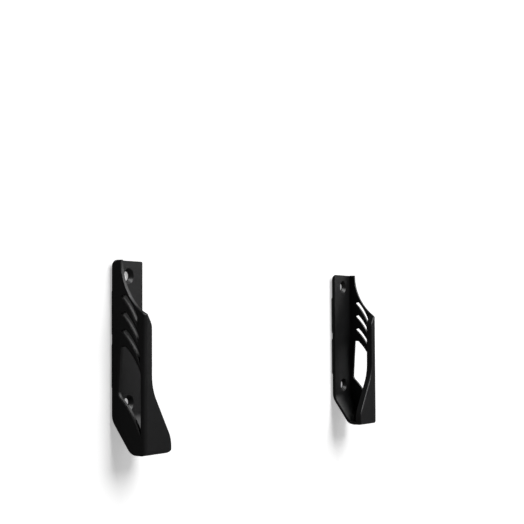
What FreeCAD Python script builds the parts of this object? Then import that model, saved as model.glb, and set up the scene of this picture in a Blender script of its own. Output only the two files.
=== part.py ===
"""Tablet wall mount: a pair of moulded corner brackets that hold a tablet flat on a wall.

Each bracket is one moulding: a back plate, a side wall, a narrow floor with a sloped heel,
and a front lip that hooks round the tablet's edge. The wall side carries two foam
adhesive strips and the back plate has two countersunk screw holes.

Frame: X to the right, Y into the wall, Z up, in millimetres. The brackets' back faces lie
on Y = 0. The origin is the middle of the four screw holes. The sketches measure heights
from the seat, where the tablet's lower edge rests. The left side is drawn and the right
side is its mirror image.
"""
import FreeCAD, Part
import math
import os
import re
import Sketcher

SIZES = {
    # What the pair holds
    "tablet_width": 241.2,
    "side_play": 0.3,
    # Walls of a bracket
    "side_wall": 2.0,
    "back_wall": 2.2,
    "lip_wall": 3.4,
    "floor_wall": 1.7,
    "channel": 13.6,
    "reach": 22.1,
    "rise": 89.3,
    # Side wall's outline, depths from the back face and heights from the seat
    "top_width": 5.4,
    "swoop_radius": 31.0,
    "top_round": 3.0,
    "heel_rise": 14.4,
    "heel_run": 11.1,
    "heel_top_round": 9.0,
    "heel_low_round": 6.0,
    "seat_round": 0.8,
    # Front lip's outline
    "lip_width": 6.4,
    "lip_low": 5.2,
    "lip_low_bend": 12.0,
    "lip_high": 29.2,
    "lip_high_bend": 20.0,
    "lip_drop": 4.6,
    "lip_land": 0.9,
    "lip_shoulder_bend": 6.0,
    # Three curved slots in the side wall
    "slot_radius": 33.7,
    "slot_width": 2.2,
    "slot_rear": 8.0,
    "slot_drop": 16.4,
    "slot_pitch": 8.1,
    "slot_angle": 21.5,
    "slot_bar": 0.8,
    "slot_bar_step": 0.8,
    # Window below the slots
    "window_rear_top": 5.4,
    "window_rear_low": 4.0,
    "window_rear_rise": 26.0,
    "window_rear_round": 4.0,
    "window_bar": 0.5,
    "window_floor": 8.2,
    "window_radius": 45.0,
    # Edge rounding
    "front_round_over": 0.2,
    "rim_round": 0.8,
    "edge_bevel": 0.4,
    "foot_round": 3.2,
    # Screw holes in the back plate
    "screw_hole": 4.5,
    "screw_head": 7.6,
    "screw_low": 22.0,
    "screw_drop": 7.3,
    # Foam adhesive strips, which fill the room between the holes
    "strip_margin": 1.6,
    "strip_to_hole": 4.2,
    "strip_gap": 3.0,
    "strip_thick": 1.0,
    "strip_round": 1.5,
}
SLOTS = 3
COUNTERSINK = 90
TOLERANCE = 0.001

doc = FreeCAD.newDocument("TabletWallMount")
sheet = doc.addObject("Spreadsheet::Sheet", "Sizes")
for row, (name, size) in enumerate(SIZES.items(), start=1):
    sheet.set(f"A{row}", name)
    sheet.set(f"B{row}", str(size))
    sheet.setAlias(f"B{row}", name)
doc.recompute()

# Places worked out from the sizes. A depth is counted from the back face towards the room.
OUTER = "(tablet_width / 2 + side_play + side_wall)"
INNER = "(tablet_width / 2 + side_play)"
END = f"({OUTER} - reach)"
LIP_EDGE = f"({OUTER} - lip_width)"
DEPTH = "(back_wall + channel + lip_wall)"
LIP_BACK = "(back_wall + channel)"
HEEL_SLOPE = "((heel_rise + floor_wall) / heel_run)"
SLOPE_LIFT = f"(floor_wall * sqrt(1 + {HEEL_SLOPE} ^ 2))"
SCREW_ACROSS = f"({OUTER} - reach / 2)"
SCREW_HIGH = "(rise - screw_drop)"
SCREW_MIDDLE = f"((screw_low + {SCREW_HIGH}) / 2)"
STRIP_WIDTH = "(reach - 2 * strip_margin)"
STRIP_HEIGHT = f"(({SCREW_HIGH} - screw_low - screw_hole - strip_gap) / 2 - strip_to_hole)"
FRONT_ROUND = "(side_wall + front_round_over)"
FLAT_END = f"({DEPTH} - {FRONT_ROUND})"
WINDOW_FRONT = f"({FLAT_END} - window_bar)"
SHOULDER_LIFT = (f"(({FRONT_ROUND} + lip_land - side_wall) * lip_drop"
                 f" / (lip_width - {FRONT_ROUND} - lip_land))")
SLOT_CENTRE = "(slot_rear + slot_radius * cos(slot_angle * 1 deg))"
BEYOND = "side_wall"


def bind(text):
    """Turn a text such as 'reach / 2' into one that names the sheet's cells."""
    return re.sub(r"[a-z_]{4,}", lambda word: f"Sizes.{word.group()}" if word.group() in SIZES
                  else word.group(), text)


def value(text):
    return float(sheet.evalExpression(bind(text)))


def follow(thing, setting, text):
    thing.setExpression(setting, bind(text))


def new_body(label):
    body = doc.addObject("PartDesign::Body", label)
    body.Label = label
    follow(body, "Placement.Base.z", f"-{SCREW_MIDDLE}")
    return body


def new_sketch(body, name, role, offset):
    """A sketch on one of the body's own origin planes, moved along its normal."""
    sketch = body.newObject("Sketcher::SketchObject", name)
    plane = next(item for item in body.Origin.OriginFeatures if item.Role == role)
    sketch.AttachmentSupport = [(plane, "")]
    sketch.MapMode = "FlatFace"
    follow(sketch, "AttachmentOffset.Base.z", offset)
    return sketch


def arc_about(centre, start, end):
    """An arc of under half a turn from start to end, and its ends' numbers in that order."""
    angles = [math.atan2(point.y - centre.y, point.x - centre.x) for point in (start, end)]
    turn = (angles[1] - angles[0]) % (2 * math.pi)
    circle = Part.Circle(centre, FreeCAD.Vector(0, 0, 1), (start - centre).Length)
    if turn < math.pi:
        return Part.ArcOfCircle(circle, angles[0], angles[0] + turn), (1, 2)
    return Part.ArcOfCircle(circle, angles[1], angles[1] - turn + 2 * math.pi), (2, 1)


def bend_centre(start, end, radius):
    """Centre of an arc between two points. It lies left of the way there, or right if radius < 0."""
    half = (end - start) / 2
    left = FreeCAD.Vector(-half.y, half.x, 0).normalize()
    return start + half + left * math.copysign(math.sqrt(radius ** 2 - half.Length ** 2), radius)


def pin_point(sketch, geometry, end, across, up):
    """Hold a point at a place that the sheet gives."""
    for kind, text in (("DistanceX", across), ("DistanceY", up)):
        number = sketch.addConstraint(
            Sketcher.Constraint(kind, -1, 1, geometry, end, value(text)))
        follow(sketch, f"Constraints[{number}]", text)


def hold_radius(sketch, geometry, text):
    number = sketch.addConstraint(Sketcher.Constraint("Radius", geometry, abs(value(text))))
    follow(sketch, f"Constraints[{number}]", f"abs({text})")


def outline(sketch, corners, bends=None):
    """Draw a closed outline.

    Each corner is (across, up) or (across, up, round). bends gives the radius of an edge
    that is an arc, by the number of the corner that it starts from.
    """
    bends = bends or {}
    points = [FreeCAD.Vector(value(corner[0]), value(corner[1]), 0) for corner in corners]
    starts = list(points)
    ends = points[1:] + points[:1]
    centres = {}
    for number, corner in enumerate(corners):
        if len(corner) == 3:
            here = points[number]
            back = (points[number - 1] - here).normalize()
            onward = (points[(number + 1) % len(points)] - here).normalize()
            half = back.getAngle(onward) / 2
            starts[number] = here + onward * (value(corner[2]) / math.tan(half))
            ends[number - 1] = here + back * (value(corner[2]) / math.tan(half))
            centres[number] = here + (back + onward).normalize() * (value(corner[2]) / math.sin(half))
    edges = []
    for number, (start, end) in enumerate(zip(starts, ends)):
        if number in bends:
            arc, order = arc_about(bend_centre(start, end, value(bends[number])), start, end)
            edges.append((sketch.addGeometry(arc), *order))
            hold_radius(sketch, edges[-1][0], bends[number])
        else:
            edges.append((sketch.addGeometry(Part.LineSegment(start, end)), 1, 2))
    for number, corner in enumerate(corners):
        before, after = edges[number - 1], edges[number]
        if number not in centres:
            sketch.addConstraint(
                Sketcher.Constraint("Coincident", before[0], before[2], after[0], after[1]))
            pin_point(sketch, after[0], after[1], corner[0], corner[1])
            continue
        arc, order = arc_about(centres[number], ends[number - 1], starts[number])
        turn = sketch.addGeometry(arc)
        sharp = sketch.addGeometry(Part.Point(points[number]), True)
        pin_point(sketch, sharp, 1, corner[0], corner[1])
        for edge in (before, after):
            sketch.addConstraint(Sketcher.Constraint("PointOnObject", sharp, 1, edge[0]))
        sketch.addConstraint(Sketcher.Constraint("Tangent", before[0], before[2], turn, order[0]))
        sketch.addConstraint(Sketcher.Constraint("Tangent", turn, order[1], after[0], after[1]))
        hold_radius(sketch, turn, corner[2])


def ahead(depth):
    """Y of a point that lies a depth in front of the back face."""
    return f"-({depth})"


def swoop_height(depth):
    """Height of the swoop, a circle about a centre level with the top, at a depth."""
    return f"(rise - sqrt(swoop_radius ^ 2 - (top_width + swoop_radius - {depth}) ^ 2))"


def side_outline(sketch):
    """Profile of the whole bracket: flat top, swoop to the front, floor and sloped heel."""
    outline(sketch, [
        (ahead("0"), "rise", "top_round"),
        (ahead("0"), "heel_rise", "heel_top_round"),
        (ahead("heel_run"), "-floor_wall", "heel_low_round"),
        (ahead(DEPTH), "-floor_wall"),
        (ahead(DEPTH), swoop_height(DEPTH)),
        (ahead("top_width"), "rise"),
    ], {4: "swoop_radius"})


def channel_outline(sketch):
    """The room for the tablet, open at the top, between back plate, heel, floor and lip."""
    outline(sketch, [
        (ahead("back_wall"), f"rise + {BEYOND}"),
        (ahead("back_wall"), f"heel_rise - back_wall * {HEEL_SLOPE} + {SLOPE_LIFT}", "heel_top_round"),
        (ahead(f"(heel_rise + {SLOPE_LIFT}) / {HEEL_SLOPE}"), "0", "seat_round"),
        (ahead(LIP_BACK), "0", "seat_round"),
        (ahead(LIP_BACK), f"rise + {BEYOND}"),
    ])


def lip_cut_outline(sketch):
    """What the front lip lacks: everything above and inside its shoulder and S-curve."""
    outline(sketch, [
        (f"-{END}", "0"),
        (f"-{END}", "lip_low", "lip_low_bend"),
        (f"-{LIP_EDGE}", "lip_high", "lip_high_bend"),
        (f"-{LIP_EDGE}", f"{swoop_height(DEPTH)} - lip_drop", "lip_shoulder_bend"),
        (f"-{INNER}", f"{swoop_height(DEPTH)} + {SHOULDER_LIFT}"),
        (f"-{INNER}", f"rise + {BEYOND}"),
        (f"-({END} - {BEYOND})", f"rise + {BEYOND}"),
        (f"-({END} - {BEYOND})", "0"),
    ])


def foot_cut_outline(sketch):
    """The corner that is cut away to round the lower inner end."""
    outline(sketch, [
        (f"-{END}", "foot_round - floor_wall"),
        (f"-({END} + foot_round)", "-floor_wall"),
        (f"-({END} + foot_round)", f"-floor_wall - {BEYOND}"),
        (f"-({END} - {BEYOND})", f"-floor_wall - {BEYOND}"),
        (f"-({END} - {BEYOND})", "foot_round - floor_wall"),
    ], {0: "-foot_round"})


def slot_centre_height(number):
    """Height of the centre of a slot's arcs. The slots repeat downwards, a pitch apart."""
    return (f"(rise - slot_drop + slot_radius * sin(slot_angle * 1 deg)"
            f" - {number} * slot_pitch)")


def slot_outline(sketch, number):
    """A curved slot: two arcs about one centre, cut square at the rear and upright in front."""
    centre = slot_centre_height(number)
    front = f"({FLAT_END} - slot_bar - {SLOTS - 1 - number} * slot_bar_step)"
    wide = "(slot_radius + slot_width)"

    def radial(radius):
        return (ahead(f"{SLOT_CENTRE} - {radius} * cos(slot_angle * 1 deg)"),
                f"{centre} - {radius} * sin(slot_angle * 1 deg)")

    def upright(radius):
        return ahead(front), f"{centre} - sqrt({radius} ^ 2 - ({SLOT_CENTRE} - {front}) ^ 2)"

    outline(sketch, [radial("slot_radius"), radial(wide), upright(wide), upright("slot_radius")],
            {1: wide, 3: "-slot_radius"})


def window_outline(sketch):
    """The window below the slots. Its top edge is one more slot's edge, a pitch further down."""
    centre = slot_centre_height(SLOTS)
    top = f"(rise - slot_drop - {SLOTS} * slot_pitch)"
    front = f"{centre} - sqrt(slot_radius ^ 2 - ({SLOT_CENTRE} - {WINDOW_FRONT}) ^ 2)"
    outline(sketch, [
        (ahead("slot_rear"), top),
        (ahead("window_rear_top"), top),
        (ahead("window_rear_low"), "window_rear_rise", "window_rear_round"),
        (ahead(WINDOW_FRONT), "window_floor"),
        (ahead(WINDOW_FRONT), front),
    ], {2: "window_radius", 4: "-slot_radius"})


def pad(body, sketch, length, reverse=False):
    feature = body.newObject("PartDesign::Pad", f"{sketch.Name}_pad")
    feature.Profile = sketch
    follow(feature, "Length", length)
    feature.Reversed = reverse
    doc.recompute()
    return feature


def pocket(body, sketch, length, reverse=False):
    """Cut a sketch into the body, and see that it took something away."""
    before = body.Shape.Volume
    feature = body.newObject("PartDesign::Pocket", f"{sketch.Name}_pocket")
    feature.Profile = sketch
    follow(feature, "Length", length)
    feature.Reversed = reverse
    doc.recompute()
    if body.Shape.Volume >= before:
        raise ValueError(f"{feature.Name} cuts nothing")
    return feature


def dress(body, kind, name, size, chosen):
    """Round or bevel the edges of the body so far for which chosen(edge) holds."""
    tip = body.Tip
    edges = enumerate(tip.Shape.Edges, start=1)
    names = [f"Edge{number}" for number, edge in edges if chosen(edge)]
    if not names:
        raise ValueError(f"{name} finds no edge")
    feature = body.newObject(f"PartDesign::{kind}", name)
    feature.Base = (tip, names)
    follow(feature, "Radius" if kind == "Fillet" else "Size", size)
    doc.recompute()
    return feature


def lies_at(item, axis, place):
    """Whether a whole edge or face lies at one place along an axis."""
    box = item.BoundBox
    return all(math.isclose(getattr(box, axis + end), place, abs_tol=TOLERANCE)
               for end in ("Min", "Max"))


def round_corner(body):
    """Round the front's outer corner and its lower edge."""
    outer, front, bottom = -value(OUTER), -value(DEPTH), -value("floor_wall")
    dress(body, "Fillet", "corner_fillet", FRONT_ROUND,
          lambda edge: lies_at(edge, "Y", front)
          and (lies_at(edge, "X", outer) or lies_at(edge, "Z", bottom)))


def round_outlines(body):
    """Round the lip's own outline and the side wall's, and the edges that carry on from them."""
    front, outer = -value(DEPTH), -value(OUTER)
    dress(body, "Fillet", "outline_fillet", "rim_round",
          lambda edge: lies_at(edge, "Y", front) or lies_at(edge, "X", outer))


def bevel_openings(body):
    """Break the slots' and the window's edges in the side wall's outer face."""
    outer = -value(OUTER)
    wall = next(face for face in body.Tip.Shape.Faces if lies_at(face, "X", outer))
    rims = [edge for wire in wall.Wires if not wire.isSame(wall.OuterWire) for edge in wire.Edges]
    dress(body, "Chamfer", "opening_bevel", "edge_bevel",
          lambda edge: any(edge.isSame(rim) for rim in rims))


def drill_screw_holes(body):
    """Two holes in the back plate, countersunk on the tablet's side."""
    sketch = new_sketch(body, "screw_places", "XZ_Plane", "back_wall")
    for up in ("screw_low", SCREW_HIGH):
        centre = FreeCAD.Vector(-value(SCREW_ACROSS), value(up), 0)
        circle = sketch.addGeometry(
            Part.Circle(centre, FreeCAD.Vector(0, 0, 1), value("screw_hole / 2")))
        pin_point(sketch, circle, 3, f"-{SCREW_ACROSS}", up)
        hold_radius(sketch, circle, "screw_hole / 2")
    doc.recompute()
    hole = body.newObject("PartDesign::Hole", "screw_holes")
    hole.Profile = sketch
    hole.DepthType = "ThroughAll"
    hole.HoleCutType = "Countersink"
    hole.HoleCutCountersinkAngle = COUNTERSINK
    follow(hole, "Diameter", "screw_hole")
    follow(hole, "HoleCutDiameter", "screw_head")
    doc.recompute()


def make_bracket(label):
    """The left bracket, one moulding."""
    body = new_body(label)
    sketch = new_sketch(body, "side_profile", "YZ_Plane", f"-{OUTER}")
    side_outline(sketch)
    pad(body, sketch, "reach")
    round_corner(body)
    sketch = new_sketch(body, "channel_profile", "YZ_Plane", f"-{INNER}")
    channel_outline(sketch)
    pocket(body, sketch, "reach", True)
    sketch = new_sketch(body, "lip_profile", "XZ_Plane", DEPTH)
    lip_cut_outline(sketch)
    pocket(body, sketch, f"lip_wall + {BEYOND}")
    round_outlines(body)
    sketch = new_sketch(body, "foot_profile", "XZ_Plane", DEPTH)
    foot_cut_outline(sketch)
    pocket(body, sketch, f"{DEPTH} + {BEYOND}")
    for number in range(SLOTS):
        sketch = new_sketch(body, f"slot_{number + 1}_profile", "YZ_Plane", f"-{OUTER}")
        slot_outline(sketch, number)
        pocket(body, sketch, "side_wall", True)
    sketch = new_sketch(body, "window_profile", "YZ_Plane", f"-{OUTER}")
    window_outline(sketch)
    pocket(body, sketch, "side_wall", True)
    bevel_openings(body)
    drill_screw_holes(body)
    return body


def make_strip(label, low):
    """A foam adhesive strip on the left bracket's back face, its lower edge at a height."""
    body = new_body(label)
    sketch = new_sketch(body, "strip_profile", "XZ_Plane", "0")
    outer = f"-({SCREW_ACROSS} + {STRIP_WIDTH} / 2)"
    inner = f"-({SCREW_ACROSS} - {STRIP_WIDTH} / 2)"
    high = f"({low} + {STRIP_HEIGHT})"
    outline(sketch, [(outer, low, "strip_round"), (inner, low, "strip_round"),
                     (inner, high, "strip_round"), (outer, high, "strip_round")])
    pad(body, sketch, "strip_thick", True)
    return body


def make_mirror(label, source):
    """The same piece for the right side."""
    mirror = doc.addObject("Part::Mirroring", label)
    mirror.Label = label
    mirror.Source = source
    mirror.Normal = FreeCAD.Vector(1, 0, 0)
    doc.recompute()
    return mirror


def check_document(pieces):
    """Stop if any object of the document is in error or a piece has no sound shape."""
    for item in doc.Objects:
        if "Invalid" in item.State or "Error" in item.State:
            raise ValueError(f"{item.Label} is in state {item.State}")
    for piece in pieces:
        if piece.Shape.isNull() or not piece.Shape.isValid():
            raise ValueError(f"{piece.Label} has no sound shape")


def export(pieces):
    os.makedirs("parts", exist_ok=True)
    for piece in pieces:
        piece.Shape.exportStep(os.path.join("parts", f"{piece.Label}.step"))


left = [
    make_bracket("left_bracket"),
    make_strip("left_upper_strip", f"({SCREW_MIDDLE} + strip_gap / 2)"),
    make_strip("left_lower_strip", f"({SCREW_MIDDLE} - strip_gap / 2 - {STRIP_HEIGHT})"),
]
pieces = left + [make_mirror(piece.Label.replace("left", "right"), piece) for piece in left]
check_document(pieces)
export(pieces)
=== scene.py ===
"""Dresses the tablet wall mount for a picture.

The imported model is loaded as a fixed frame. Each operator below makes one group of pieces or
the studio, in metres and in the model's own frame: X to the right, Y into the wall, Z up.
"""
import math

import bpy
import bmesh
from mathutils import Matrix, Vector


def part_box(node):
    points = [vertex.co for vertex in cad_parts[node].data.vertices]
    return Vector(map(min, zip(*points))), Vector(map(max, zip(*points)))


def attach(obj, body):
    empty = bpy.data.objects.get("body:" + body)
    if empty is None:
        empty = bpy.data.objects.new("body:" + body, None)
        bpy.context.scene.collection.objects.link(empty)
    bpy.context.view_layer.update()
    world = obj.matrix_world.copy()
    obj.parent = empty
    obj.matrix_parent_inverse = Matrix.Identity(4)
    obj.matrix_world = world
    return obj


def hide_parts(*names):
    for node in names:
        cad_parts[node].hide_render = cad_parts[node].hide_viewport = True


bl_info = {
    "name": "Tablet Wall Mount",
    "version": (1, 0, 0),
    "blender": (4, 5, 0),
    "location": "View3D > Sidebar > Wall Mount",
    "description": "Moulded corner brackets with foam adhesive strips, and their studio",
    "category": "Object",
}

BODY = "root"
MM = 0.001

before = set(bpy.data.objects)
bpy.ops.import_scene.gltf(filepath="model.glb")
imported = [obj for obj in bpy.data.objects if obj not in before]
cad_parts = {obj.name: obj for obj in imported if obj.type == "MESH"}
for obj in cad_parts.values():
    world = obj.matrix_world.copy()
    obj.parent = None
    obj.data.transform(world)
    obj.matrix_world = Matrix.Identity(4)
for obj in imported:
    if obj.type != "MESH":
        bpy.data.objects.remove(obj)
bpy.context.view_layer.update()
BRACKETS = [name for name in sorted(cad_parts) if name.endswith("bracket")]
STRIPS = [name for name in sorted(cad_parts) if name.endswith("strip")]
WALL_Y = max(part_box(name)[1].y for name in STRIPS)
BRACKET_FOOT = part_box(BRACKETS[0])[0].z

# Points nearer than this are one point, and faces nearer than this to one plane are one face
MERGE_DISTANCE = 0.002 * MM
FLAT_ANGLE = math.radians(0.2)

# How far the plastic's tone and gloss drift from their means, as shares
TONE_DRIFT = 0.18
GLOSS_DRIFT = 0.07

# How dark the painted shade in the foam's pores is, against the foam, and how glossy the adhesive is
PORE_SHADE_TONE = 0.45
FILM_GLOSS = (0.28, 0.46)


# Sizes and colours that a user would change

class MouldedPlastic(bpy.types.PropertyGroup):
    colour: bpy.props.FloatVectorProperty(
        name="Colour", description="Colour of the moulded plastic", subtype="COLOR",
        size=3, default=(0.009, 0.009, 0.00936), min=0.0, max=1.0)
    roughness: bpy.props.FloatProperty(
        name="Roughness", description="Mean roughness of the moulded skin",
        default=0.34, min=0.0, max=1.0, subtype="FACTOR")
    grain_size: bpy.props.FloatProperty(
        name="Grain Size", description="Width of one grain of the mould's spark-eroded texture",
        default=0.35 * MM, min=0.05 * MM, unit="LENGTH")
    grain_depth: bpy.props.FloatProperty(
        name="Grain Depth", description="Depth of the grain",
        default=0.02 * MM, min=0.0, unit="LENGTH")
    crease_angle: bpy.props.FloatProperty(
        name="Crease Angle", description="Edges sharper than this stay sharp",
        default=math.radians(32), min=0.0, max=math.pi, subtype="ANGLE")


class FoamStrip(bpy.types.PropertyGroup):
    foam_colour: bpy.props.FloatVectorProperty(
        name="Foam Colour", description="Colour of the closed-cell foam", subtype="COLOR",
        size=3, default=(0.30, 0.30, 0.30), min=0.0, max=1.0)
    film_colour: bpy.props.FloatVectorProperty(
        name="Adhesive Colour", description="Colour of the adhesive film", subtype="COLOR",
        size=3, default=(0.42, 0.41, 0.38), min=0.0, max=1.0)
    film_thickness: bpy.props.FloatProperty(
        name="Film Thickness", description="Thickness of the adhesive on each face of the foam",
        default=0.09 * MM, min=0.01 * MM, unit="LENGTH")
    foam_inset: bpy.props.FloatProperty(
        name="Foam Inset", description="How far the foam's cut edge draws in from the film",
        default=0.12 * MM, min=0.0, unit="LENGTH")
    corner_radius: bpy.props.FloatProperty(
        name="Corner Radius", description="Radius of the strip's corners",
        default=1.5 * MM, min=0.0, unit="LENGTH")


class Studio(bpy.types.PropertyGroup):
    camera_place: bpy.props.FloatVectorProperty(
        name="Camera Place", description="Where the camera stands", subtype="TRANSLATION",
        size=3, default=(-0.6346, -0.3818, 0.0050))
    camera_heading: bpy.props.FloatProperty(
        name="Heading", description="Turn of the camera from straight at the wall, to the right",
        default=math.radians(59.63), subtype="ANGLE")
    camera_rise: bpy.props.FloatProperty(
        name="Rise", description="How far the camera looks up",
        default=math.radians(2.79), subtype="ANGLE")
    camera_roll: bpy.props.FloatProperty(
        name="Roll", description="How far the camera leans",
        default=math.radians(-0.29), subtype="ANGLE")
    lens: bpy.props.FloatProperty(
        name="Lens", description="Focal length in millimetres", default=93.1, min=1.0)
    backdrop_size: bpy.props.FloatProperty(
        name="Backdrop Size", description="Width of the wall and the floor",
        default=6.0, min=1.0, unit="LENGTH")
    backdrop_tone: bpy.props.FloatProperty(
        name="Backdrop Tone", description="How pale the wall and the floor are",
        default=0.84, min=0.0, max=1.0, subtype="FACTOR")
    backdrop_bounce: bpy.props.FloatProperty(
        name="Backdrop Bounce", description="Share of its light that the backdrop sends to the mount",
        default=0.14, min=0.0, max=1.0, subtype="FACTOR")
    backdrop_lift: bpy.props.FloatProperty(
        name="Backdrop Lift", description="Light that the camera sees on the backdrop, also in shade",
        default=0.42, min=0.0, max=1.0, subtype="FACTOR")
    wall_gap: bpy.props.FloatProperty(
        name="Wall Gap", description="Room between the adhesive and the wall",
        default=0.03 * MM, min=0.0, unit="LENGTH")
    floor_drop: bpy.props.FloatProperty(
        name="Floor Drop", description="How far the floor lies below the brackets",
        default=0.25, min=0.05, unit="LENGTH")


# Small helpers for shader and geometry trees

def new_material(name):
    material = bpy.data.materials.new(name)
    material.use_nodes = True
    tree = material.node_tree
    tree.nodes.clear()
    return material, tree


def add(tree, kind, values=None, **settings):
    """A node with its settings and the values of its unlinked inputs."""
    node = tree.nodes.new(kind)
    for setting, value in settings.items():
        setattr(node, setting, value)
    for socket, value in (values or {}).items():
        node.inputs[socket].default_value = value
    return node


def link(tree, *pairs):
    for output, target in pairs:
        tree.links.new(output, target)


def shade_range(tree, factor, low, high):
    """Map a factor from 0 to 1 onto a range."""
    ranged = add(tree, "ShaderNodeMapRange", {"To Min": low, "To Max": high})
    link(tree, (factor, ranged.inputs["Value"]))
    return ranged.outputs["Result"]


# Materials

def moulded_plastic_material(finish):
    """Satin black plastic: fine spark-eroded grain, faint flow marks and a slightly uneven gloss."""
    material, tree = new_material("moulded_plastic")
    place = add(tree, "ShaderNodeTexCoord").outputs["Object"]
    grain = add(tree, "ShaderNodeTexNoise", {"Scale": 1 / finish.grain_size, "Detail": 3.0,
                                             "Roughness": 0.6})
    pits = add(tree, "ShaderNodeTexVoronoi", {"Scale": 0.8 / finish.grain_size}, feature="F1")
    flow = add(tree, "ShaderNodeTexNoise", {"Scale": 90.0, "Detail": 4.0, "Roughness": 0.55,
                                            "Distortion": 0.6})
    stretch = add(tree, "ShaderNodeMapping", {"Scale": (1.0, 1.0, 0.35)})
    relief = add(tree, "ShaderNodeMath", operation="ADD")
    bump = add(tree, "ShaderNodeBump", {"Strength": 1.0, "Distance": finish.grain_depth})
    tone = add(tree, "ShaderNodeMix", {"Factor": 0.5}, data_type="RGBA")
    dark = tuple(part * (1 - TONE_DRIFT) for part in finish.colour)
    light = tuple(part * (1 + TONE_DRIFT) for part in finish.colour)
    tone.inputs["A"].default_value = (*dark, 1.0)
    tone.inputs["B"].default_value = (*light, 1.0)
    surface = add(tree, "ShaderNodeBsdfPrincipled", {"IOR": 1.46})
    out = add(tree, "ShaderNodeOutputMaterial")
    link(tree,
         (place, grain.inputs["Vector"]), (place, pits.inputs["Vector"]),
         (place, stretch.inputs["Vector"]), (stretch.outputs["Vector"], flow.inputs["Vector"]),
         (grain.outputs["Fac"], relief.inputs[0]), (pits.outputs["Distance"], relief.inputs[1]),
         (relief.outputs["Value"], bump.inputs["Height"]),
         (flow.outputs["Fac"], tone.inputs["Factor"]),
         (tone.outputs["Result"], surface.inputs["Base Color"]),
         (shade_range(tree, flow.outputs["Fac"], finish.roughness - GLOSS_DRIFT,
                      finish.roughness + GLOSS_DRIFT),
          surface.inputs["Roughness"]),
         (bump.outputs["Normal"], surface.inputs["Normal"]),
         (surface.outputs["BSDF"], out.inputs["Surface"]))
    return material


def foam_material(finish):
    """Closed-cell foam: matt, with small pores that the bump dents and that are darkened with painted
    shade.
    """
    material, tree = new_material("closed_cell_foam")
    place = add(tree, "ShaderNodeTexCoord").outputs["Object"]
    cells = add(tree, "ShaderNodeTexVoronoi", {"Scale": 4200.0}, feature="F1")
    # The pore mask both dents the surface and paints shade into the hollow cells
    pore_dent_and_shade = add(tree, "ShaderNodeMapRange", {"From Min": 0.12, "From Max": 0.38})
    tone = add(tree, "ShaderNodeMix", data_type="RGBA")
    # Colour A is painted shade: the foam darkened inside its pores
    tone.inputs["A"].default_value = (*(part * PORE_SHADE_TONE for part in finish.foam_colour), 1.0)
    tone.inputs["B"].default_value = (*finish.foam_colour, 1.0)
    bump = add(tree, "ShaderNodeBump", {"Strength": 1.0, "Distance": 0.05 * MM})
    surface = add(tree, "ShaderNodeBsdfPrincipled", {"Roughness": 0.92})
    out = add(tree, "ShaderNodeOutputMaterial")
    link(tree,
         (place, cells.inputs["Vector"]), (cells.outputs["Distance"], pore_dent_and_shade.inputs["Value"]),
         (pore_dent_and_shade.outputs["Result"], tone.inputs["Factor"]),
         (pore_dent_and_shade.outputs["Result"], bump.inputs["Height"]),
         (tone.outputs["Result"], surface.inputs["Base Color"]),
         (bump.outputs["Normal"], surface.inputs["Normal"]),
         (surface.outputs["BSDF"], out.inputs["Surface"]))
    return material


def adhesive_material(finish):
    """Pressure-sensitive adhesive: a smooth, slightly tacky film over the foam."""
    material, tree = new_material("adhesive_film")
    place = add(tree, "ShaderNodeTexCoord").outputs["Object"]
    ripple = add(tree, "ShaderNodeTexNoise", {"Scale": 420.0, "Detail": 3.0})
    bump = add(tree, "ShaderNodeBump", {"Strength": 0.6, "Distance": 0.04 * MM})
    surface = add(tree, "ShaderNodeBsdfPrincipled")
    surface.inputs["Base Color"].default_value = (*finish.film_colour, 1.0)
    out = add(tree, "ShaderNodeOutputMaterial")
    link(tree,
         (place, ripple.inputs["Vector"]), (ripple.outputs["Fac"], bump.inputs["Height"]),
         (shade_range(tree, ripple.outputs["Fac"], *FILM_GLOSS), surface.inputs["Roughness"]),
         (bump.outputs["Normal"], surface.inputs["Normal"]),
         (surface.outputs["BSDF"], out.inputs["Surface"]))
    return material


# The brackets

def merged_copy(node, name, crease_angle):
    """A moulding's mesh, its loose triangles joined into one closed shell with whole flats."""
    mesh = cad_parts[node].data.copy()
    mesh.name = name
    mesh.materials.clear()
    work = bmesh.new()
    work.from_mesh(mesh)
    bmesh.ops.remove_doubles(work, verts=work.verts, dist=MERGE_DISTANCE)
    bmesh.ops.dissolve_degenerate(work, edges=work.edges, dist=MERGE_DISTANCE)
    bmesh.ops.dissolve_limit(work, angle_limit=FLAT_ANGLE, verts=work.verts, edges=work.edges)
    bmesh.ops.dissolve_degenerate(work, edges=work.edges, dist=MERGE_DISTANCE)
    work.normal_update()
    for edge in work.edges:
        edge.smooth = edge.calc_face_angle(0.0) < crease_angle
    work.to_mesh(mesh)
    work.free()
    mesh.shade_smooth()
    piece = bpy.data.objects.new(name, mesh)
    bpy.context.scene.collection.objects.link(piece)
    return piece


def weigh_normals(piece):
    """Let the large flat faces rule the normals, so that they shade flat up to the roundings."""
    weighted = piece.modifiers.new("flat_faces", "WEIGHTED_NORMAL")
    weighted.mode = "FACE_AREA_WITH_ANGLE"
    weighted.weight = 50
    weighted.keep_sharp = True


class MOUNT_OT_brackets(bpy.types.Operator):
    """Dress the two moulded brackets"""
    bl_idname = "wall_mount.brackets"
    bl_label = "Moulded Brackets"
    bl_options = {"REGISTER", "UNDO"}

    def execute(self, context):
        finish = context.scene.moulded_plastic
        material = moulded_plastic_material(finish)
        for node in BRACKETS:
            piece = merged_copy(node, f"{node}_moulding", finish.crease_angle)
            piece.data.materials.append(material)
            weigh_normals(piece)
            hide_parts(node)
            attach(piece, BODY)
        return {"FINISHED"}


# The adhesive strips

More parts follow.
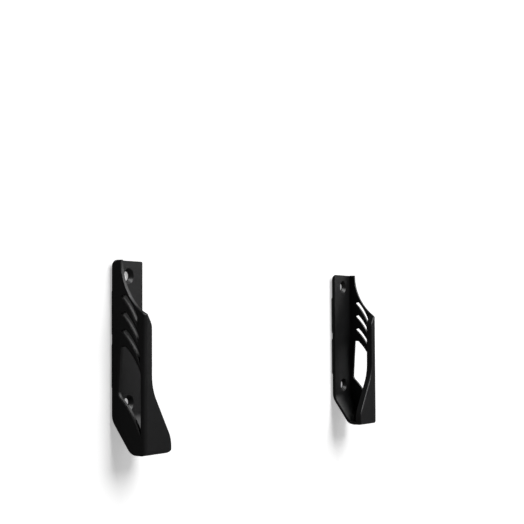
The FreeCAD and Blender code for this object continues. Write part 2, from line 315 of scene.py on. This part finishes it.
def strip_tree():
    """An upright plate with rounded corners, with named inputs for its sizes and its middle."""
    tree = bpy.data.node_groups.new("strip_layer", "GeometryNodeTree")
    sockets = (("Width", 0.02), ("Height", 0.02), ("Radius", 0.0015), ("Thickness", 0.001))
    for name, default in sockets:
        socket = tree.interface.new_socket(name, in_out="INPUT", socket_type="NodeSocketFloat")
        socket.default_value = default
        socket.subtype = "DISTANCE"
    tree.interface.new_socket("Middle", in_out="INPUT", socket_type="NodeSocketVector")
    tree.interface.new_socket("Finish", in_out="INPUT", socket_type="NodeSocketMaterial")
    tree.interface.new_socket("Geometry", in_out="OUTPUT", socket_type="NodeSocketGeometry")
    given = add(tree, "NodeGroupInput")
    outline = add(tree, "GeometryNodeCurvePrimitiveQuadrilateral")
    rounded = add(tree, "GeometryNodeFilletCurve", {"Count": 8}, mode="POLY")
    filled = add(tree, "GeometryNodeFillCurve", mode="NGONS")
    raised = add(tree, "GeometryNodeExtrudeMesh", mode="FACES")
    flipped = add(tree, "GeometryNodeFlipFaces")
    both = add(tree, "GeometryNodeJoinGeometry")
    merged = add(tree, "GeometryNodeMergeByDistance", {"Distance": 0.001 * MM})
    half = add(tree, "ShaderNodeMath", {1: -0.5}, operation="MULTIPLY")
    lowered = add(tree, "ShaderNodeCombineXYZ")
    upright = add(tree, "GeometryNodeTransform", {"Rotation": (math.pi / 2, 0.0, 0.0)})
    centred = add(tree, "GeometryNodeTransform")
    placed = add(tree, "GeometryNodeTransform")
    realized = add(tree, "GeometryNodeRealizeInstances")
    painted = add(tree, "GeometryNodeSetMaterial")
    out = add(tree, "NodeGroupOutput")
    link(tree,
         (given.outputs["Width"], outline.inputs["Width"]),
         (given.outputs["Height"], outline.inputs["Height"]),
         (outline.outputs["Curve"], rounded.inputs["Curve"]),
         (given.outputs["Radius"], rounded.inputs["Radius"]),
         (rounded.outputs["Curve"], filled.inputs["Curve"]),
         (filled.outputs["Mesh"], raised.inputs["Mesh"]),
         (given.outputs["Thickness"], raised.inputs["Offset Scale"]),
         (filled.outputs["Mesh"], flipped.inputs["Mesh"]),
         (raised.outputs["Mesh"], both.inputs["Geometry"]),
         (flipped.outputs["Mesh"], both.inputs["Geometry"]),
         (both.outputs["Geometry"], merged.inputs["Geometry"]),
         (given.outputs["Thickness"], half.inputs[0]),
         (half.outputs["Value"], lowered.inputs["Z"]),
         (merged.outputs["Geometry"], centred.inputs["Geometry"]),
         (lowered.outputs["Vector"], centred.inputs["Translation"]),
         (centred.outputs["Geometry"], upright.inputs["Geometry"]),
         (upright.outputs["Geometry"], placed.inputs["Geometry"]),
         (given.outputs["Middle"], placed.inputs["Translation"]),
         (placed.outputs["Geometry"], realized.inputs["Geometry"]),
         (realized.outputs["Geometry"], painted.inputs["Geometry"]),
         (given.outputs["Finish"], painted.inputs["Material"]),
         (painted.outputs["Geometry"], out.inputs["Geometry"]))
    return tree


def grown_mesh(name, tree, values):
    """The plain mesh that a geometry tree makes with these input values."""
    host = bpy.data.objects.new(name, bpy.data.meshes.new(name))
    bpy.context.scene.collection.objects.link(host)
    grow = host.modifiers.new("grow", "NODES")
    grow.node_group = tree
    for item in tree.interface.items_tree:
        if item.in_out == "INPUT" and item.name in values:
            grow[item.identifier] = values[item.name]
    shown = host.evaluated_get(bpy.context.evaluated_depsgraph_get())
    mesh = bpy.data.meshes.new_from_object(shown)
    bpy.data.objects.remove(host)
    return mesh


def layered_strip(node, tree, finish, foam, film):
    """Foam between two adhesive films, in the place of one strip."""
    low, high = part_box(node)
    size = high - low
    middle = (low + high) / 2
    inset = finish.foam_inset
    core = size.y - 2 * finish.film_thickness
    half_gap = (core + finish.film_thickness) / 2
    layers = (
        ("foam", -inset, core, 0.0, foam),
        ("front_film", 0.0, finish.film_thickness, -half_gap, film),
        ("back_film", 0.0, finish.film_thickness, half_gap, film),
    )
    whole = bmesh.new()
    materials = [foam, film]
    for name, growth, thickness, depth, material in layers:
        mesh = grown_mesh(f"{node}_{name}", tree, {
            "Width": size.x + 2 * growth, "Height": size.z + 2 * growth,
            "Radius": finish.corner_radius + growth, "Thickness": thickness,
            "Middle": middle + Vector((0.0, depth, 0.0)), "Finish": material,
        })
        first = len(whole.faces)
        whole.from_mesh(mesh)
        whole.faces.ensure_lookup_table()
        for face in whole.faces[first:]:
            face.material_index = materials.index(material)
        bpy.data.meshes.remove(mesh)
    bmesh.ops.recalc_face_normals(whole, faces=whole.faces)
    mesh = bpy.data.meshes.new(f"{node}_layers")
    whole.to_mesh(mesh)
    whole.free()
    for material in materials:
        mesh.materials.append(material)
    piece = bpy.data.objects.new(f"{node}_layers", mesh)
    bpy.context.scene.collection.objects.link(piece)
    return piece


class MOUNT_OT_strips(bpy.types.Operator):
    """Build the foam adhesive strips behind the brackets"""
    bl_idname = "wall_mount.strips"
    bl_label = "Adhesive Strips"
    bl_options = {"REGISTER", "UNDO"}

    def execute(self, context):
        finish = context.scene.foam_strip
        tree = strip_tree()
        foam = foam_material(finish)
        film = adhesive_material(finish)
        for node in STRIPS:
            piece = layered_strip(node, tree, finish, foam, film)
            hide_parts(node)
            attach(piece, BODY)
        return {"FINISHED"}


# The studio

def backdrop_shader(tree, colour, bounce, lift):
    """A pale matt surface, nearer to white for the camera and dimmer to the mount."""
    ray = add(tree, "ShaderNodeLightPath")
    matt = add(tree, "ShaderNodeBsdfDiffuse")
    tone = add(tree, "ShaderNodeMapRange", {"To Min": colour * bounce, "To Max": colour})
    glow = add(tree, "ShaderNodeEmission")
    glow.inputs["Color"].default_value = (1.0, 1.0, 1.0, 1.0)
    seen = add(tree, "ShaderNodeMath", {1: lift}, operation="MULTIPLY")
    both = add(tree, "ShaderNodeAddShader")
    link(tree,
         (ray.outputs["Is Camera Ray"], tone.inputs["Value"]),
         (tone.outputs["Result"], matt.inputs["Color"]),
         (ray.outputs["Is Camera Ray"], seen.inputs[0]),
         (seen.outputs["Value"], glow.inputs["Strength"]),
         (matt.outputs["BSDF"], both.inputs[0]), (glow.outputs["Emission"], both.inputs[1]))
    return both.outputs["Shader"], ray


def floor_material(studio):
    material, tree = new_material("pale_floor")
    lit, _ = backdrop_shader(tree, studio.backdrop_tone, studio.backdrop_bounce, studio.backdrop_lift)
    out = add(tree, "ShaderNodeOutputMaterial")
    link(tree, (lit, out.inputs["Surface"]))
    return material


def wall_material(studio):
    """The wall shows from its front only and lets lamps through, so that the backs are seen and lit."""
    material, tree = new_material("pale_wall")
    lit, ray = backdrop_shader(tree, studio.backdrop_tone, studio.backdrop_bounce, studio.backdrop_lift)
    side = add(tree, "ShaderNodeNewGeometry")
    clear = add(tree, "ShaderNodeBsdfTransparent")
    choice = add(tree, "ShaderNodeMixShader")
    behind = add(tree, "ShaderNodeMath", operation="MULTIPLY")
    open_to = add(tree, "ShaderNodeMath", operation="MAXIMUM")
    out = add(tree, "ShaderNodeOutputMaterial")
    link(tree,
         (ray.outputs["Is Camera Ray"], behind.inputs[0]),
         (side.outputs["Backfacing"], behind.inputs[1]),
         (behind.outputs["Value"], open_to.inputs[0]),
         (ray.outputs["Is Shadow Ray"], open_to.inputs[1]),
         (open_to.outputs["Value"], choice.inputs["Fac"]),
         (lit, choice.inputs[1]), (clear.outputs["BSDF"], choice.inputs[2]),
         (choice.outputs["Shader"], out.inputs["Surface"]))
    return material


def plane(name, middle, across, up, material):
    """A large flat sheet whose front side is across x up."""
    corners = [middle + across * x + up * y for x, y in ((-1, -1), (1, -1), (1, 1), (-1, 1))]
    mesh = bpy.data.meshes.new(name)
    mesh.from_pydata(corners, [], [(0, 1, 2, 3)])
    mesh.materials.append(material)
    piece = bpy.data.objects.new(name, mesh)
    bpy.context.scene.collection.objects.link(piece)
    return piece


def aim(holder, direction):
    """Turn a lamp so that its light travels along a direction."""
    holder.rotation_mode = "QUATERNION"
    holder.rotation_quaternion = direction.to_track_quat("-Z", "Y")
    bpy.context.scene.collection.objects.link(holder)


def soft_box(name, place, size, radiance):
    """A square lamp of even brightness, turned towards the mount."""
    lamp = bpy.data.lights.new(name, "AREA")
    lamp.shape = "SQUARE"
    lamp.size = size
    lamp.energy = radiance * math.pi * size ** 2
    holder = bpy.data.objects.new(name, lamp)
    holder.location = place
    aim(holder, -holder.location)


def far_lamp(name, place, spread, strength):
    """A large lamp so far away that it lights the whole backdrop evenly."""
    lamp = bpy.data.lights.new(name, "SUN")
    lamp.angle = spread
    lamp.energy = strength
    aim(bpy.data.objects.new(name, lamp), -Vector(place))


def light_world(camera_strength, ambient):
    """White to the camera, and a dim even light on everything else."""
    world = bpy.data.worlds.new("studio_air")
    world.use_nodes = True
    tree = world.node_tree
    tree.nodes.clear()
    ray = add(tree, "ShaderNodeLightPath")
    strength = add(tree, "ShaderNodeMapRange", {"To Min": ambient, "To Max": camera_strength})
    air = add(tree, "ShaderNodeBackground")
    air.inputs["Color"].default_value = (1.0, 1.0, 1.0, 1.0)
    out = add(tree, "ShaderNodeOutputWorld")
    link(tree,
         (ray.outputs["Is Camera Ray"], strength.inputs["Value"]),
         (strength.outputs["Result"], air.inputs["Strength"]),
         (air.outputs["Background"], out.inputs["Surface"]))
    bpy.context.scene.world = world


def add_camera(studio):
    """The camera at the photograph's viewing angle."""
    heading, rise, roll = studio.camera_heading, studio.camera_rise, studio.camera_roll
    level = Vector((math.sin(heading), math.cos(heading), 0.0))
    across = Vector((math.cos(heading), -math.sin(heading), 0.0))
    up = Vector((0.0, 0.0, 1.0))
    ahead = level * math.cos(rise) + up * math.sin(rise)
    above = up * math.cos(rise) - level * math.sin(rise)
    right = across * math.cos(roll) + above * math.sin(roll)
    top = above * math.cos(roll) - across * math.sin(roll)
    lens = bpy.data.cameras.new("studio_camera")
    lens.lens = studio.lens
    lens.sensor_width = 36.0
    lens.clip_start = 0.01
    lens.clip_end = 50.0
    camera = bpy.data.objects.new("studio_camera", lens)
    camera.rotation_mode = "QUATERNION"
    camera.rotation_quaternion = Matrix((right, top, -ahead)).transposed().to_quaternion()
    camera.location = studio.camera_place
    bpy.context.scene.collection.objects.link(camera)
    bpy.context.scene.camera = camera


class MOUNT_OT_studio(bpy.types.Operator):
    """Set up the wall, the floor, the soft light and the camera"""
    bl_idname = "wall_mount.studio"
    bl_label = "Studio"
    bl_options = {"REGISTER", "UNDO"}

    def execute(self, context):
        studio = context.scene.studio_setup
        half = studio.backdrop_size / 2
        floor_z = BRACKET_FOOT - studio.floor_drop
        x, y, z = (Vector(axis) * half for axis in ((1, 0, 0), (0, 1, 0), (0, 0, 1)))
        wall_y = WALL_Y + studio.wall_gap
        plane("wall", Vector((0.0, wall_y, floor_z + half)), x, z, wall_material(studio))
        plane("floor", Vector((0.0, 0.0, floor_z)), x, y, floor_material(studio))
        far_lamp("key_light", place=(0.06, -0.72, 0.69), spread=math.radians(45), strength=3.0)
        soft_box("side_light", place=(1.45, -0.78, 0.82), size=1.3, radiance=1.7)
        soft_box("rear_light", place=(0.25, 1.50, 0.30), size=1.2, radiance=2.2)
        light_world(camera_strength=1.0, ambient=0.022)
        add_camera(studio)
        context.scene.view_settings.view_transform = "Standard"
        return {"FINISHED"}


class MOUNT_PT_panel(bpy.types.Panel):
    """Lists the mount's groups of pieces and its studio"""
    bl_idname = "MOUNT_PT_panel"
    bl_label = "Wall Mount"
    bl_space_type = "VIEW_3D"
    bl_region_type = "UI"
    bl_category = "Wall Mount"

    def draw(self, context):
        scene = context.scene
        groups = ((scene.moulded_plastic, MOUNT_OT_brackets), (scene.foam_strip, MOUNT_OT_strips),
                  (scene.studio_setup, MOUNT_OT_studio))
        for settings, operator in groups:
            box = self.layout.box()
            for name in settings.__annotations__:
                box.prop(settings, name)
            box.operator(operator.bl_idname)


SETTINGS = {
    "moulded_plastic": MouldedPlastic,
    "foam_strip": FoamStrip,
    "studio_setup": Studio,
}
OPERATORS = (MOUNT_OT_brackets, MOUNT_OT_strips, MOUNT_OT_studio)


def register():
    for name, group in SETTINGS.items():
        bpy.utils.register_class(group)
        setattr(bpy.types.Scene, name, bpy.props.PointerProperty(type=group))
    for operator in OPERATORS:
        bpy.utils.register_class(operator)
    bpy.utils.register_class(MOUNT_PT_panel)


def unregister():
    bpy.utils.unregister_class(MOUNT_PT_panel)
    for operator in reversed(OPERATORS):
        bpy.utils.unregister_class(operator)
    for name, group in reversed(SETTINGS.items()):
        delattr(bpy.types.Scene, name)
        bpy.utils.unregister_class(group)


def main():
    register()
    bpy.ops.wall_mount.brackets()
    bpy.ops.wall_mount.strips()
    bpy.ops.wall_mount.studio()


if __name__ == "__main__":
    main()
